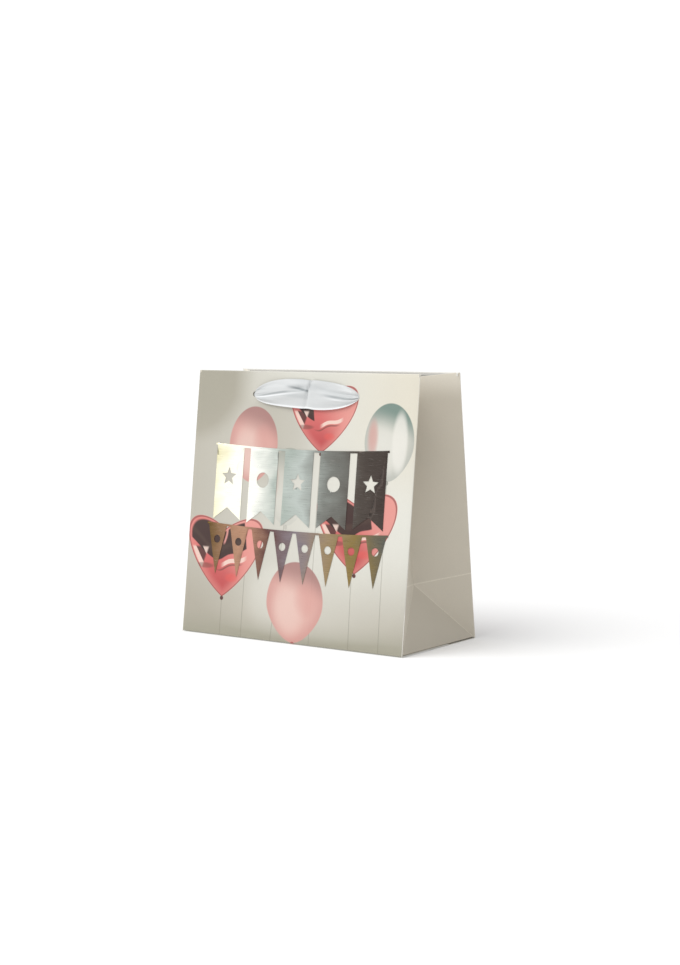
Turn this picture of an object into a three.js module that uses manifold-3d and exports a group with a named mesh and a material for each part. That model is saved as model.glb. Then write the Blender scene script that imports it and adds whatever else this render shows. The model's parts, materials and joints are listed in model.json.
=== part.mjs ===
// Block-bottom gift bag with pinched mouth, V-folded gussets, turned-in top hem and satin ribbon handles.
// Millimetres, +Z up. The origin is the middle of the underside, the front panel faces -Y.
// Every paper panel is a thin plate of its own, split at its creases, so the bag can fold flat.
import * as THREE from 'three';
import { mergeVertices } from 'three/addons/utils/BufferGeometryUtils.js';
import Module from 'manifold-3d';

const wasm = await Module();
wasm.setup();

// ---- driving sizes -------------------------------------------------------------------------
const bagWidth = 240; // outside width of the front panel
const bagHeight = 240; // height of the panels, measured along the paper
const bagDepth = 120; // depth of the bottom, front to back
const wallLean = THREE.MathUtils.degToRad(6.6); // how far the front and back lean in above the bottom
const paper = 0.4; // art paper
const gap = 0.3; // clearance between neighbouring sheets
const boardThickness = 1; // loose stiffening board on the bottom
const boardMargin = 1.5; // play of the board inside the walls
const flapReach = 75; // how far the long bottom flaps reach under the bag
const sideFlapReach = 55; // how far the short bottom flaps reach
const cardThickness = 0.8; // strip that stiffens the mouth
const hemDepth = 35; // how far the top edge is turned in
const hemSideMargin = 8; // hem and card end this far from the side edges
const cardBottomMargin = 3; // the card is this much shorter than the hem
const edgeInset = 2.2; // gusset sheets end this far from the panels' side edges
const creaseInset = 0.3; // sheets end this far from the gusset's middle crease
const cornerInset = 0.7; // and this far from the slanting creases of the bottom corners
const gussetHemInset = 8; // the gusset's hem starts this far from the panel
const glueFlapWidth = 15; // overlap that closes the paper tube
const footHingeHeight = 3.4; // fold lines of the side walls above the board
const panelHingeHeight = 4.4; // fold lines of the front and back above the side walls' folded feet
const lipGap = 0.3; // the flaps' upturned lips end this far below the panels

// ---- ribbon handles ------------------------------------------------------------------------
const holeRadius = 2.5;
const holeSpacing = 108; // between the two ribbon holes of a panel
const holeBelowTop = 21;
const ribbonWidth = 25;
const ribbonBulk = 3; // how far the folded ribbon stands off the panel
const ribbonPinch = 5; // width of the ribbon where it is gathered into a hole
const ribbonEndOverlap = 3; // the ribbon reaches this far past each hole's middle
const tailWidth = 12;
const tailThickness = 0.4;
const tailStart = 3; // the tail hangs from this far above the hole's middle
const knotTravel = 31; // how far a knot rises until the turned-in hem stops it
const knotSize = new THREE.Vector3(9, 8, 2.5); // half sizes: across, along the panel, out of it
const knotSplay = 12; // front knots hang this far inboard of their holes, back knots outboard

// ---- foil stamping -------------------------------------------------------------------------
const foil = 0.1;
const foilGap = 0.1; // clearance under the foil
const stringWidth = 1.8;
const stringSag = 3;
const bannerCount = 5;
const bannerPitch = 38.5;
const bannerWidth = 31;
const bannerLength = 67;
const bannerNotch = 11;
const bannerBelowRibbon = 35.5; // from the ribbon's lower edge to the upper string
const pennantCount = 8;
const pennantPitch = 24.6;
const pennantWidth = 21;
const pennantLength = 45;
const pennantBelowBanner = 5; // from the banners' tips to the lower string
const cutOutRadius = 8.5;
const pennantCutOutRadius = 3.6;

// ---- finishes ------------------------------------------------------------------------------
const finish = (color, roughness, metalness) => (
  new THREE.MeshStandardMaterial({ color, roughness, metalness })
);
const printedPaper = finish(0xe4dfd0, 0.55, 0);
const sidePaper = finish(0xbdb4a2, 0.6, 0);
const whitePaper = finish(0xf1efe9, 0.8, 0);
const greyBoard = finish(0xb9b3a8, 0.9, 0);
const satin = finish(0xe4e7e6, 0.35, 0);
const silverFoil = finish(0xb9b7b0, 0.22, 1);
const copperFoil = finish(0xa9805f, 0.25, 1);

// ---- places worked out from the sizes ------------------------------------------------------
const crease = bagDepth / 2; // the back folds at half the depth, and so do the gussets
const holeHeight = bagHeight - holeBelowTop;
const knotHeight = bagHeight - hemDepth - knotTravel - knotSize.y;
const footRise = (1 - Math.sin(wallLean)) / Math.cos(wallLean) * crease; // height of a gusset's lower apex
const footReach = Math.sqrt(crease ** 2 - footRise ** 2); // how far that apex stands in
const footLean = Math.atan2(footReach, footRise);

/** Point on a panel's outer face: side -1 is the front and 1 the back, s is the height along the paper. */
function panelPoint(x, s, side) {
  const y = side * (bagDepth / 2 - s * Math.sin(wallLean));
  return new THREE.Vector3(x, y, s * Math.cos(wallLean));
}

/** Upper end of a gusset's middle crease, where both halves are as wide as half the depth. */
function gussetTop() {
  const edge = panelPoint(bagWidth / 2, bagHeight, -1);
  const apex = new THREE.Vector2(bagWidth / 2 - footReach, footRise);
  const mouth = new THREE.Vector2(edge.x, edge.z);
  const acrossRadius = Math.sqrt(crease ** 2 - edge.y ** 2);
  const alongRadius = bagHeight - crease;
  const between = mouth.clone().sub(apex);
  const distance = between.length();
  const along = (alongRadius ** 2 - acrossRadius ** 2 + distance ** 2) / (2 * distance);
  const aside = Math.sqrt(alongRadius ** 2 - along ** 2);
  const unit = between.divideScalar(distance);
  const found = apex.clone().addScaledVector(unit, along);
  return new THREE.Vector3(found.x - unit.y * aside, 0, found.y + unit.x * aside);
}

const bag = new THREE.Group();

/** Adds a mesh to a group under its node name. */
function addPiece(group, name, geometry, material) {
  const mesh = new THREE.Mesh(geometry, material);
  mesh.name = name;
  group.add(mesh);
  return mesh;
}

/** Group whose X runs across a wall, Y up along its paper and Z out of it, with Z = 0 on the outer face. */
function wallFrame(origin, across, up) {
  const group = new THREE.Group();
  const outward = new THREE.Vector3().crossVectors(across, up);
  group.quaternion.setFromRotationMatrix(new THREE.Matrix4().makeBasis(across, up, outward));
  group.position.copy(origin);
  bag.add(group);
  return group;
}

/** Flat plate: an outline extruded so that its outer face is at height top and it goes down by thickness. */
function plate(outline, thickness, top) {
  const settings = { depth: thickness, bevelEnabled: false, curveSegments: 12 };
  const geometry = new THREE.ExtrudeGeometry(outline, settings);
  return geometry.translate(0, 0, top - thickness);
}

/** Rectangle between two corners, with the two ribbon holes punched where asked. */
function rectangle(x0, y0, x1, y1, punched = false) {
  const shape = new THREE.Shape();
  shape.moveTo(x0, y0).lineTo(x1, y0).lineTo(x1, y1).lineTo(x0, y1).closePath();
  if (punched) {
    for (const side of [-1, 1]) {
      const x = side * holeSpacing / 2;
      shape.holes.push(new THREE.Path().absarc(x, holeHeight, holeRadius, 0, 2 * Math.PI, true));
    }
  }
  return shape;
}

/** Closed outline through points in order. */
function polygon(points) {
  const shape = new THREE.Shape();
  shape.setFromPoints(points);
  return shape.closePath();
}

// ---- solids joined with manifold -----------------------------------------------------------
function toManifold(geometry) {
  const bare = geometry.clone();
  bare.deleteAttribute('normal');
  bare.deleteAttribute('uv');
  const merged = mergeVertices(bare, 1e-4);
  return new wasm.Manifold(new wasm.Mesh({
    numProp: 3,
    vertProperties: new Float32Array(merged.attributes.position.array),
    triVerts: new Uint32Array(merged.index.array),
  }));
}

function fromManifold(solid) {
  const mesh = solid.getMesh();
  const geometry = new THREE.BufferGeometry();
  geometry.setAttribute('position', new THREE.BufferAttribute(mesh.vertProperties, 3));
  geometry.setIndex(new THREE.BufferAttribute(mesh.triVerts, 1));
  geometry.computeVertexNormals();
  return geometry;
}

const joined = (geometries) => fromManifold(geometries.map(toManifold).reduce((all, one) => all.add(one)));

// ---- foil motifs ---------------------------------------------------------------------------
/** Five-pointed star as a hole. */
function starHole(x, y, radius) {
  const path = new THREE.Path();
  for (let point = 0; point < 10; point += 1) {
    const angle = Math.PI / 2 + point * Math.PI / 5;
    const reach = point % 2 === 0 ? radius : radius * 0.45;
    const corner = new THREE.Vector2(x + reach * Math.cos(angle), y + reach * Math.sin(angle));
    if (point === 0) path.moveTo(corner.x, corner.y);
    else path.lineTo(corner.x, corner.y);
  }
  path.closePath();
  return path;
}

const roundHole = (x, y, radius) => new THREE.Path().absarc(x, y, radius, 0, 2 * Math.PI, true);

/** Height of a sagging string at x. */
const stringHeight = (x, half, top) => top - stringSag * (1 - (x / half) ** 2);

/** The string of a garland, as a band along its sag. */
function garlandString(half, top) {
  const steps = 24;
  const xs = Array.from({ length: steps + 1 }, (_, i) => -half + 2 * half * i / steps);
  const lower = xs.map((x) => new THREE.Vector2(x, stringHeight(x, half, top) - stringWidth));
  const upper = xs.map((x) => new THREE.Vector2(x, stringHeight(x, half, top))).reverse();
  return plate(polygon([...lower, ...upper]), foil, foilGap + foil);
}

/** Tall swallow-tailed banners on one string. */
function bannerGarland(top) {
  const half = (bannerCount - 1) / 2 * bannerPitch + bannerWidth / 2 + stringWidth;
  const pieces = [garlandString(half, top)];
  for (let i = 0; i < bannerCount; i += 1) {
    const x = (i - (bannerCount - 1) / 2) * bannerPitch;
    const y = stringHeight(x, half, top) - stringWidth / 2;
    const w = bannerWidth / 2;
    const outline = polygon([
      new THREE.Vector2(x - w, y), new THREE.Vector2(x - w, y - bannerLength),
      new THREE.Vector2(x, y - bannerLength + bannerNotch), new THREE.Vector2(x + w, y - bannerLength),
      new THREE.Vector2(x + w, y),
    ]);
    const middle = y - bannerLength * 0.42;
    const cutOut = i % 2 === 0 ? starHole(x, middle, cutOutRadius) : roundHole(x, middle, cutOutRadius * 0.8);
    outline.holes.push(cutOut);
    pieces.push(plate(outline, foil, foilGap + foil));
  }
  return joined(pieces);
}

/** Smaller pointed pennants on one string. */
function pennantGarland(top) {
  const half = (pennantCount - 1) / 2 * pennantPitch + pennantWidth / 2 + stringWidth;
  const pieces = [garlandString(half, top)];
  for (let i = 0; i < pennantCount; i += 1) {
    const x = (i - (pennantCount - 1) / 2) * pennantPitch;
    const y = stringHeight(x, half, top) - stringWidth / 2;
    const w = pennantWidth / 2;
    const outline = polygon([
      new THREE.Vector2(x - w, y), new THREE.Vector2(x, y - pennantLength), new THREE.Vector2(x + w, y),
    ]);
    outline.holes.push(roundHole(x, y - pennantLength * 0.3, pennantCutOutRadius));
    pieces.push(plate(outline, foil, foilGap + foil));
  }
  return joined(pieces);
}

// ---- bottom --------------------------------------------------------------------------------
/** Long flap under the bag with an upturned lip that the panel stands on. */
function longFlap(name, side, level) {
  const across = new THREE.Vector3(1, 0, 0);
  const profile = new THREE.Shape();
  const lean = Math.tan(wallLean);
  const lipTop = panelHingeHeight - lipGap;
  const edge = bagDepth / 2;
  profile.moveTo(edge - level * lean, level);
  profile.lineTo(edge - lipTop * lean, lipTop);
  profile.lineTo(edge - lipTop * lean - paper, lipTop);
  profile.lineTo(edge - (level + paper) * lean - paper, level + paper);
  profile.lineTo(edge - flapReach, level + paper);
  profile.lineTo(edge - flapReach, level);
  profile.closePath();
  const length = bagWidth - 2 * paper;
  const geometry = new THREE.ExtrudeGeometry(profile, { depth: length, bevelEnabled: false });
  geometry.translate(0, 0, -length / 2);
  const mesh = addPiece(bag, name, geometry, printedPaper);
  const outward = new THREE.Vector3(0, side, 0);
  const up = new THREE.Vector3(0, 0, 1);
  const axes = new THREE.Matrix4().makeBasis(outward, up, across.multiplyScalar(side));
  mesh.quaternion.setFromRotationMatrix(axes);
}

/** Short flap at one end of the bottom, with the lip that the gusset's foot folds on. */
function shortFlap(name, side, level) {
  const profile = new THREE.Shape();
  const lean = Math.tan(footLean);
  const lipTop = footHingeHeight - lipGap;
  const edge = bagWidth / 2;
  profile.moveTo(edge - level * lean - gap, level);
  profile.lineTo(edge - lipTop * lean - gap, lipTop);
  profile.lineTo(edge - lipTop * lean - gap - paper, lipTop);
  profile.lineTo(edge - (level + paper) * lean - gap - paper, level + paper);
  profile.lineTo(edge - sideFlapReach, level + paper);
  profile.lineTo(edge - sideFlapReach, level);
  profile.closePath();
  const length = bagDepth - 4 * paper - 4 * gap;
  const geometry = new THREE.ExtrudeGeometry(profile, { depth: length, bevelEnabled: false });
  geometry.translate(0, 0, -length / 2);
  const mesh = addPiece(bag, name, geometry, sidePaper);
  const outward = new THREE.Vector3(side, 0, 0);
  const up = new THREE.Vector3(0, 0, 1);
  const along = new THREE.Vector3(0, -side, 0);
  mesh.quaternion.setFromRotationMatrix(new THREE.Matrix4().makeBasis(outward, up, along));
}

function makeBottom() {
  const layer = paper + gap;
  longFlap('bottom_flap_back', 1, 0);
  longFlap('bottom_flap_front', -1, layer);
  shortFlap('bottom_flap_right', 1, 2 * layer);
  shortFlap('bottom_flap_left', -1, 2 * layer);
  const inFromEnds = boardMargin + Math.tan(footLean) * footHingeHeight + paper;
  const halfWidth = bagWidth / 2 - inFromEnds;
  const halfDepth = bagDepth / 2 - boardMargin - paper;
  const top = 3 * layer + boardThickness;
  const board = rectangle(-halfWidth, -halfDepth, halfWidth, halfDepth);
  addPiece(bag, 'base_board', plate(board, boardThickness, top), greyBoard);
}

// ---- front and back ------------------------------------------------------------------------
/** Height along the paper at which a panel's inner face reaches the given height above the floor. */
const paperHeight = (z) => (z + paper * Math.sin(wallLean)) / Math.cos(wallLean);

/** The stiffening card, the turned-in hem, the ribbon, its tails and its knots, on one wall's frame. */
function makeMouth(wall, label, splay, flip) {
  const halfHem = bagWidth / 2 - hemSideMargin;
  const cardTop = bagHeight - gap;
  const cardBottom = bagHeight - hemDepth + cardBottomMargin;
  const cardDepth = -paper - gap;
  const hemLevel = cardDepth - cardThickness - gap;
  const card = rectangle(-halfHem, cardBottom, halfHem, cardTop, true);
  const hem = rectangle(-halfHem, bagHeight - hemDepth, halfHem, bagHeight, true);
  addPiece(wall, `${label}_card`, plate(card, cardThickness, cardDepth), greyBoard);
  addPiece(wall, `${label}_hem`, plate(hem, paper, hemLevel), whitePaper);
  addPiece(wall, `${label}_ribbon`, ribbonGeometry(), satin);
  for (const side of [-1, 1]) {
    const hand = side * flip > 0 ? 'right' : 'left';
    const tailLevel = hemLevel - paper - gap;
    addPiece(wall, `${label}_tail_${hand}`, tailGeometry(side, splay, tailLevel), satin);
    const knot = new THREE.SphereGeometry(1, 20, 12).rotateX(Math.PI / 2);
    knot.scale(knotSize.x, knotSize.y, knotSize.z);
    const mesh = addPiece(wall, `${label}_knot_${hand}`, knot, satin);
    mesh.position.set(side * (holeSpacing / 2 + splay), knotHeight, -paper - gap - knotSize.z);
  }
}

/** Outside stretch of a handle: a flat almond of ribbon, gathered at both holes. */
function ribbonGeometry() {
  const steps = 24;
  const half = holeSpacing / 2 + ribbonEndOverlap;
  const halfWidth = (x) => ribbonPinch / 2 + (ribbonWidth - ribbonPinch) / 2 * (1 - (x / half) ** 2);
  const xs = Array.from({ length: steps + 1 }, (_, i) => -half + 2 * half * i / steps);
  const lower = xs.map((x) => new THREE.Vector2(x, holeHeight - halfWidth(x)));
  const upper = xs.map((x) => new THREE.Vector2(x, holeHeight + halfWidth(x))).reverse();
  return plate(polygon([...lower, ...upper]), ribbonBulk, gap + ribbonBulk);
}

/** Inside stretch of a handle, from its hole down to its knot. */
function tailGeometry(side, splay, level) {
  const top = holeHeight + tailStart;
  const bottom = knotHeight + knotSize.y + gap + tailThickness;
  const x = side * holeSpacing / 2;
  const end = x + side * splay;
  return plate(polygon([
    new THREE.Vector2(x - tailWidth / 2, top), new THREE.Vector2(end - tailWidth / 2, bottom),
    new THREE.Vector2(end + tailWidth / 2, bottom), new THREE.Vector2(x + tailWidth / 2, top),
  ]), tailThickness, level);
}

function makeFront() {
  const up = new THREE.Vector3(0, Math.sin(wallLean), Math.cos(wallLean));
  const wall = wallFrame(new THREE.Vector3(0, -bagDepth / 2, 0), new THREE.Vector3(1, 0, 0), up);
  const outline = rectangle(-bagWidth / 2, paperHeight(panelHingeHeight), bagWidth / 2, bagHeight, true);
  addPiece(wall, 'front_panel', plate(outline, paper, 0), printedPaper);
  makeMouth(wall, 'front', -knotSplay, 1);
  const bannerTop = holeHeight - ribbonWidth / 2 - bannerBelowRibbon + stringSag;
  const pennantTop = bannerTop - bannerLength - pennantBelowBanner;
  addPiece(wall, 'front_foil_banners', bannerGarland(bannerTop), silverFoil);
  addPiece(wall, 'front_foil_pennants', pennantGarland(pennantTop), copperFoil);
}

function makeBack() {
  const up = new THREE.Vector3(0, -Math.sin(wallLean), Math.cos(wallLean));
  const wall = wallFrame(new THREE.Vector3(0, bagDepth / 2, 0), new THREE.Vector3(-1, 0, 0), up);
  const foot = rectangle(-bagWidth / 2, paperHeight(panelHingeHeight), bagWidth / 2, crease - gap / 2);
  const upper = rectangle(-bagWidth / 2, crease + gap / 2, bagWidth / 2, bagHeight, true);
  addPiece(wall, 'back_panel_foot', plate(foot, paper, 0), printedPaper);
  addPiece(wall, 'back_panel', plate(upper, paper, 0), printedPaper);
  makeMouth(wall, 'back', knotSplay, -1);
  const bannerTop = holeHeight - ribbonWidth / 2 - bannerBelowRibbon + stringSag;
  addPiece(wall, 'back_foil_banners', bannerGarland(bannerTop), silverFoil);
  // The flap that closes the paper tube is glued inside the back, along its left edge.
  const flapEnd = bagWidth / 2 - edgeInset - gap;
  const flapTop = bagHeight - hemDepth - gap;
  const flap = rectangle(flapEnd - glueFlapWidth, crease + gap, flapEnd, flapTop);
  addPiece(wall, 'glue_flap', plate(flap, paper, -paper - gap), whitePaper);
}

// ---- gussets -------------------------------------------------------------------------------
/** Moves each edge of a convex outline inwards by its own distance. */
function insetOutline(points, insets) {
  const lines = points.map((point, i) => {
    const next = points[(i + 1) % points.length];
    const along = next.clone().sub(point).normalize();
    const inward = new THREE.Vector2(-along.y, along.x);
    return { start: point.clone().addScaledVector(inward, insets[i]), along };
  });
  return lines.map((line, i) => {
    const before = lines[(i + lines.length - 1) % lines.length];
    const offset = line.start.clone().sub(before.start);
    const cross = before.along.x * line.along.y - before.along.y * line.along.x;
    const travel = (offset.x * line.along.y - offset.y * line.along.x) / cross;
    return before.start.clone().addScaledVector(before.along, travel);
  });
}

/** Flat sheet through points given counter-clockwise as seen from outside, each edge inset by its distance. */
function facet(name, points, insets) {
  const across = points[1].clone().sub(points[0]).normalize();
  const outward = across.clone().cross(points[2].clone().sub(points[0])).normalize();
  const up = outward.clone().cross(across);
  const flat = points.map((point) => {
    const from = point.clone().sub(points[0]);
    return new THREE.Vector2(from.dot(across), from.dot(up));
  });
  const frame = wallFrame(points[0], across, up);
  addPiece(frame, name, plate(polygon(insetOutline(flat, insets)), paper, 0), sidePaper);
}

/** Closed solid over a grid of points: the outer grid, an inner grid behind it and the rim between them. */
function gridSolid(outer, inner, rows, columns) {
  const at = (row, column) => row * columns + column;
  const count = rows * columns;
  const triangles = [];
  const quad = (a, b, c, d) => triangles.push(a, b, c, a, c, d);
  for (let row = 0; row + 1 < rows; row += 1) {
    for (let column = 0; column + 1 < columns; column += 1) {
      const corners = [at(row, column), at(row, column + 1), at(row + 1, column + 1), at(row + 1, column)];
      quad(...corners);
      quad(...corners.map((corner) => corner + count).reverse());
    }
  }
  const rim = [];
  for (let column = 0; column + 1 < columns; column += 1) rim.push(at(0, column));
  for (let row = 0; row + 1 < rows; row += 1) rim.push(at(row, columns - 1));
  for (let column = columns - 1; column > 0; column -= 1) rim.push(at(rows - 1, column));
  for (let row = rows - 1; row > 0; row -= 1) rim.push(at(row, 0));
  rim.forEach((corner, i) => {
    const next = rim[(i + 1) % rim.length];
    quad(next, corner, corner + count, next + count);
  });
  const geometry = new THREE.BufferGeometry();
  const all = [...outer, ...inner].flatMap((point) => point.toArray());
  geometry.setAttribute('position', new THREE.Float32BufferAttribute(all, 3));
  geometry.setIndex(triangles);
  geometry.computeVertexNormals();
  return geometry;
}

/**
 * Sheet ruled between a panel's side edge and the gusset's middle crease. It twists, because the mouth is
 * pinched narrower than the bottom. Its outer face lies `depth` behind the ruled surface.
 */
function ruledSheet(edge, middle, edgeStart, sheetBottom, depth, outwardSign) {
  const rows = 13;
  const columns = 7;
  const length = bagHeight - crease;
  const bottom = sheetBottom / length;
  const first = edgeStart / crease;
  const last = 1 - creaseInset / crease;
  const ruled = (u, v) => {
    const from = edge[0].clone().lerp(edge[1], v);
    return from.lerp(middle[0].clone().lerp(middle[1], v), u);
  };
  const outer = [];
  const inner = [];
  for (let row = 0; row < rows; row += 1) {
    for (let column = 0; column < columns; column += 1) {
      const v = bottom + (1 - bottom) * row / (rows - 1);
      const u = first + (last - first) * column / (columns - 1);
      const point = ruled(u, v);
      const acrossward = middle[0].clone().lerp(middle[1], v).sub(edge[0].clone().lerp(edge[1], v));
      const upward = ruled(u, 1).sub(ruled(u, 0));
      const normal = acrossward.cross(upward).normalize().multiplyScalar(outwardSign);
      outer.push(point.clone().addScaledVector(normal, -depth));
      inner.push(point.clone().addScaledVector(normal, -depth - paper));
    }
  }
  return outwardSign > 0 ? gridSolid(outer, inner, rows, columns) : gridSolid(inner, outer, rows, columns);
}

/** One gusset: its foot, its two webs, its two upper halves and their hems. */
function makeGusset(hand, sign) {
  const edgeX = sign * bagWidth / 2;
  const apex = new THREE.Vector3(sign * (bagWidth / 2 - footReach), 0, footRise);
  const top = gussetTop();
  top.x *= sign;
  const across = new THREE.Vector3(0, sign, 0);
  const up = new THREE.Vector3(-sign * Math.sin(footLean), 0, Math.cos(footLean));
  const footStart = (footHingeHeight + paper * Math.sin(footLean)) / Math.cos(footLean);
  const frame = wallFrame(new THREE.Vector3(edgeX, 0, 0), across, up);
  const footOutline = insetOutline([
    new THREE.Vector2(-crease, 0), new THREE.Vector2(crease, 0), new THREE.Vector2(0, crease),
  ], [footStart, cornerInset, cornerInset]);
  addPiece(frame, `${hand}_gusset_foot`, plate(polygon(footOutline), paper, 0), sidePaper);

  for (const [label, side] of [['front', -1], ['rear', 1]]) {
    const corner = panelPoint(edgeX, 0, side);
    const knee = panelPoint(edgeX, crease, side);
    const mouth = panelPoint(edgeX, bagHeight, side);
    const turned = sign * side > 0;
    const web = turned ? [corner, knee, apex] : [corner, apex, knee];
    const webInsets = turned ? [edgeInset, creaseInset, cornerInset] : [cornerInset, creaseInset, edgeInset];
    facet(`${hand}_web_${label}`, web, webInsets);
    const outwardSign = turned ? -1 : 1;
    const rule = (start, bottom, depth) => (
      ruledSheet([knee, mouth], [apex, top], start, bottom, depth, outwardSign)
    );
    addPiece(bag, `${hand}_gusset_${label}`, rule(edgeInset, creaseInset, 0), sidePaper);
    const hemBottom = bagHeight - crease - hemDepth;
    addPiece(bag, `${hand}_gusset_hem_${label}`, rule(gussetHemInset, hemBottom, paper + gap), whitePaper);
  }
}

makeBottom();
makeFront();
makeBack();
makeGusset('right', 1);
makeGusset('left', -1);

export default bag;
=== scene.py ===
"""Looks of a block-bottom paper gift bag with satin ribbon handles, built around its packed frame.

Every length is in metres unless a name ends in _mm. The bag stands on Z = 0, its printed front faces -Y.
"""

from __future__ import annotations

import json
import logging
from collections.abc import Callable, Sequence
from dataclasses import dataclass, field
from enum import Enum
from math import acos, atan2, copysign, cos, exp, hypot, pi, radians, sin, sqrt, tan

import bpy
from mathutils import Matrix, Vector, noise


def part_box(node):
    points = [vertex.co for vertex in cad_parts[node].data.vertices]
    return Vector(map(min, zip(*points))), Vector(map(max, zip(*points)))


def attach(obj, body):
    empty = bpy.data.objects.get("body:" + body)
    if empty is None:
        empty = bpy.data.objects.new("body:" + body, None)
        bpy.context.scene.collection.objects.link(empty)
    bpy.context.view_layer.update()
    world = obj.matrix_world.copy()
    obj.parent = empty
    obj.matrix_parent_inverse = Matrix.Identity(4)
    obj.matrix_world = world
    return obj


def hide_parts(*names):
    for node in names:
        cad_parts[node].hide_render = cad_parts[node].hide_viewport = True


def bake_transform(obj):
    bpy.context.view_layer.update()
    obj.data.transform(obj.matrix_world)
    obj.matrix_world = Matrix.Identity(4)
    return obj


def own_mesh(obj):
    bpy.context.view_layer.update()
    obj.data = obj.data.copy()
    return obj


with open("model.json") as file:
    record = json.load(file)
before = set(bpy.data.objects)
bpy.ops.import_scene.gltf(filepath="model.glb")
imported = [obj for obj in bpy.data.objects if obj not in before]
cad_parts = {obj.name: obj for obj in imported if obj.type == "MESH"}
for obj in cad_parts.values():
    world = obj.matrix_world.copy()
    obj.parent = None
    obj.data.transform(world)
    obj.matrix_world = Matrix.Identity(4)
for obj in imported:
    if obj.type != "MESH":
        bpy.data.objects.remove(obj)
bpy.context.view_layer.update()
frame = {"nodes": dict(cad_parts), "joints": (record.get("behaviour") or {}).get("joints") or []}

log = logging.getLogger("gift_bag")
MM = 0.001
Piece, Material, Socket = bpy.types.Object, bpy.types.Material, bpy.types.NodeSocket
Place = Callable[[float, float], Vector]
Station = tuple[float, float]  # a pair of lengths or shares, such as a place on a sheet and how far it stands out


# ---- colours and shader maths --------------------------------------------------------------
def tone(red: float, green: float, blue: float) -> tuple[float, float, float, float]:
    """Turns a display colour, 0 to 255 a channel, into the linear colour that a shader takes."""

    def linear(level: float) -> float:
        share = level / 255
        return share / 12.92 if share <= 0.04045 else ((share + 0.055) / 1.055) ** 2.4

    return (linear(red), linear(green), linear(blue), 1.0)


def operation(kind: str, says: str) -> Callable:
    """One operator of Number, which adds a Math node of that kind."""

    def operator(number: Number, *others: Amount) -> Number:
        values = dict(enumerate((number, *others)))
        made = number.shader.node("ShaderNodeMath", {"operation": kind}, values)
        return Number(number.shader, made.outputs[0])

    operator.__doc__ = says
    return operator


class Number:
    """A node socket that holds a number, so that shader maths reads as a Python expression."""

    def __init__(self, shader: Shader, socket: Socket) -> None:
        """Wraps a socket of a shader's tree."""
        self.shader = shader
        self.socket = socket

    __add__ = __radd__ = operation("ADD", "Sum.")
    __sub__ = operation("SUBTRACT", "Difference.")
    __mul__ = __rmul__ = operation("MULTIPLY", "Product.")
    __truediv__ = operation("DIVIDE", "Quotient.")
    __pow__ = operation("POWER", "Power.")
    __abs__ = operation("ABSOLUTE", "Size without its sign.")
    sine = operation("SINE", "Sine of an angle in radians.")
    sign = operation("SIGN", "-1, 0 or 1.")
    least = operation("MINIMUM", "The smaller of two.")
    most = operation("MAXIMUM", "The larger of two.")

    def __rsub__(self, other: float) -> Number:
        """Difference from a plain number."""
        return self * -1.0 + other

    def ease(self, start: float, end: float) -> Number:
        """Smooth step from 0 at start to 1 at end; start may be above end."""
        low, high, flip = (start, end, False) if start < end else (end, start, True)
        made = self.shader.node(
            "ShaderNodeMapRange",
            {"interpolation_type": "SMOOTHSTEP"},
            {"Value": self, "From Min": low, "From Max": high},
        )
        eased = Number(self.shader, made.outputs["Result"])
        return 1.0 - eased if flip else eased

    def bump(self, centre: float, width: float) -> Number:
        """1 at the centre, falling smoothly to 0 at the width on either side."""
        return abs(self - centre).ease(width, 0.0)


Amount = Number | float


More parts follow.
